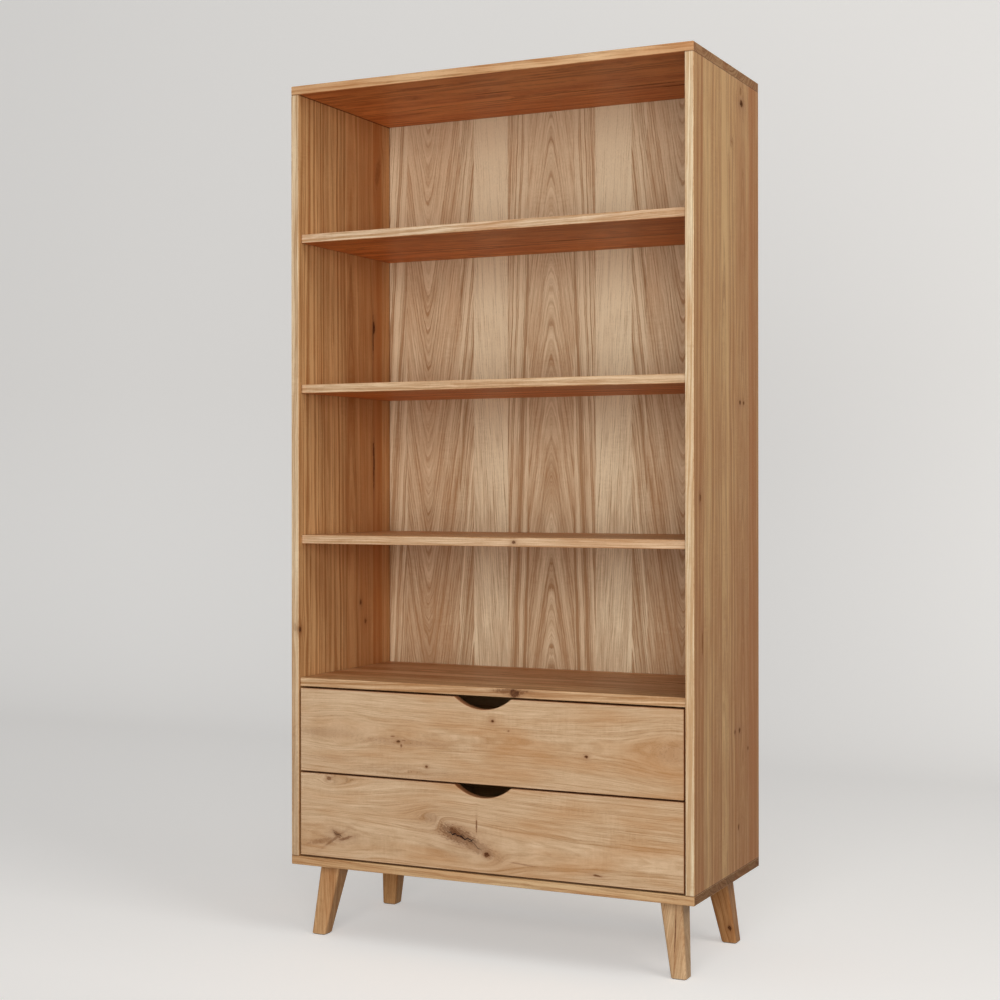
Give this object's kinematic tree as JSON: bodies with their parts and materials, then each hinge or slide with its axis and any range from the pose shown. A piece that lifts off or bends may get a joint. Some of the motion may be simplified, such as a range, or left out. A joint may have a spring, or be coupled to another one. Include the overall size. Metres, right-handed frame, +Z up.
{
  "type": "bookcase with bottom drawers",
  "caption": "Tall oak bookcase with open compartments over scooped-front drawers on ball slides, raised on splayed tapered legs.",
  "frame": {"origin": "middle of the footprint, on the floor under the felt pads", "axes": "+Z up, the drawer fronts and open side face -Y, +X to the right seen from the front"},
  "size_m": [1, 0.45, 2],
  "materials": {
    "oak_boards": "oiled solid oak, edge-glued staves",
    "oak_fronts": "oiled knotty oak, grain across",
    "oak_legs": "oiled solid oak",
    "oak_veneer": "oiled oak veneer with upright figure",
    "drawer_wood": "lacquered oak",
    "plywood": "lacquered birch plywood",
    "zinc_steel": "bright zinc plate",
    "cage_steel": "plain strip steel",
    "screw_steel": "yellow zinc plate",
    "felt": "pressed felt"
  },
  "bodies": {
    "carcass": {"top_panel": "oak_boards", "bottom_panel": "oak_boards", "side_left": "oak_boards", "side_right": "oak_boards", "divider_shelf": "oak_boards", "shelf_lower": "oak_boards", "shelf_middle": "oak_boards", "shelf_upper": "oak_boards", "back_panel": "oak_veneer", "leg_front_left": "oak_legs", "leg_front_right": "oak_legs", "leg_rear_left": "oak_legs", "leg_rear_right": "oak_legs", "leg_bolts": "zinc_steel", "leg_inserts": "zinc_steel", "felt_pads": "felt", "carcass_rail_screws": "screw_steel", "lower_left_cabinet_rail": "zinc_steel", "lower_right_cabinet_rail": "zinc_steel", "upper_left_cabinet_rail": "zinc_steel", "upper_right_cabinet_rail": "zinc_steel"},
    "lower_drawer": {"lower_front": "oak_fronts", "lower_box_front": "drawer_wood", "lower_box_back": "drawer_wood", "lower_box_left": "drawer_wood", "lower_box_right": "drawer_wood", "lower_box_bottom": "plywood", "lower_front_screws": "screw_steel", "lower_rail_screws": "screw_steel", "lower_left_drawer_rail": "zinc_steel", "lower_right_drawer_rail": "zinc_steel"},
    "lower_middle_rails": {"lower_left_middle_rail": "zinc_steel", "lower_right_middle_rail": "zinc_steel"},
    "lower_outer_cages": {"lower_left_outer_cage": "cage_steel", "lower_right_outer_cage": "cage_steel"},
    "lower_inner_cages": {"lower_left_inner_cage": "cage_steel", "lower_right_inner_cage": "cage_steel"},
    "upper_drawer": {"upper_front": "oak_fronts", "upper_box_front": "drawer_wood", "upper_box_back": "drawer_wood", "upper_box_left": "drawer_wood", "upper_box_right": "drawer_wood", "upper_box_bottom": "plywood", "upper_front_screws": "screw_steel", "upper_rail_screws": "screw_steel", "upper_left_drawer_rail": "zinc_steel", "upper_right_drawer_rail": "zinc_steel"},
    "upper_middle_rails": {"upper_left_middle_rail": "zinc_steel", "upper_right_middle_rail": "zinc_steel"},
    "upper_outer_cages": {"upper_left_outer_cage": "cage_steel", "upper_right_outer_cage": "cage_steel"},
    "upper_inner_cages": {"upper_left_inner_cage": "cage_steel", "upper_right_inner_cage": "cage_steel"}
  },
  "joints": [
    {"name": "lower_drawer_slide", "type": "slide", "parent": "carcass", "child": "lower_drawer", "axis": [0, -1, 0], "range_m": [0, 0.4]},
    {"name": "lower_middle_rails_slide", "type": "slide", "parent": "carcass", "child": "lower_middle_rails", "axis": [0, -1, 0], "range_m": [0, 0.2]},
    {"name": "lower_outer_cages_slide", "type": "slide", "parent": "carcass", "child": "lower_outer_cages", "axis": [0, -1, 0], "range_m": [0, 0.1]},
    {"name": "lower_inner_cages_slide", "type": "slide", "parent": "carcass", "child": "lower_inner_cages", "axis": [0, -1, 0], "range_m": [0, 0.3]},
    {"name": "upper_drawer_slide", "type": "slide", "parent": "carcass", "child": "upper_drawer", "axis": [0, -1, 0], "range_m": [0, 0.4]},
    {"name": "upper_middle_rails_slide", "type": "slide", "parent": "carcass", "child": "upper_middle_rails", "axis": [0, -1, 0], "range_m": [0, 0.2]},
    {"name": "upper_outer_cages_slide", "type": "slide", "parent": "carcass", "child": "upper_outer_cages", "axis": [0, -1, 0], "range_m": [0, 0.1]},
    {"name": "upper_inner_cages_slide", "type": "slide", "parent": "carcass", "child": "upper_inner_cages", "axis": [0, -1, 0], "range_m": [0, 0.3]}
  ],
  "couplings": [
    {"joint": "lower_middle_rails_slide", "follows": "lower_drawer_slide", "ratio": 0.5},
    {"joint": "lower_outer_cages_slide", "follows": "lower_drawer_slide", "ratio": 0.25},
    {"joint": "lower_inner_cages_slide", "follows": "lower_drawer_slide", "ratio": 0.75},
    {"joint": "upper_middle_rails_slide", "follows": "upper_drawer_slide", "ratio": 0.5},
    {"joint": "upper_outer_cages_slide", "follows": "upper_drawer_slide", "ratio": 0.25},
    {"joint": "upper_inner_cages_slide", "follows": "upper_drawer_slide", "ratio": 0.75}
  ]
}
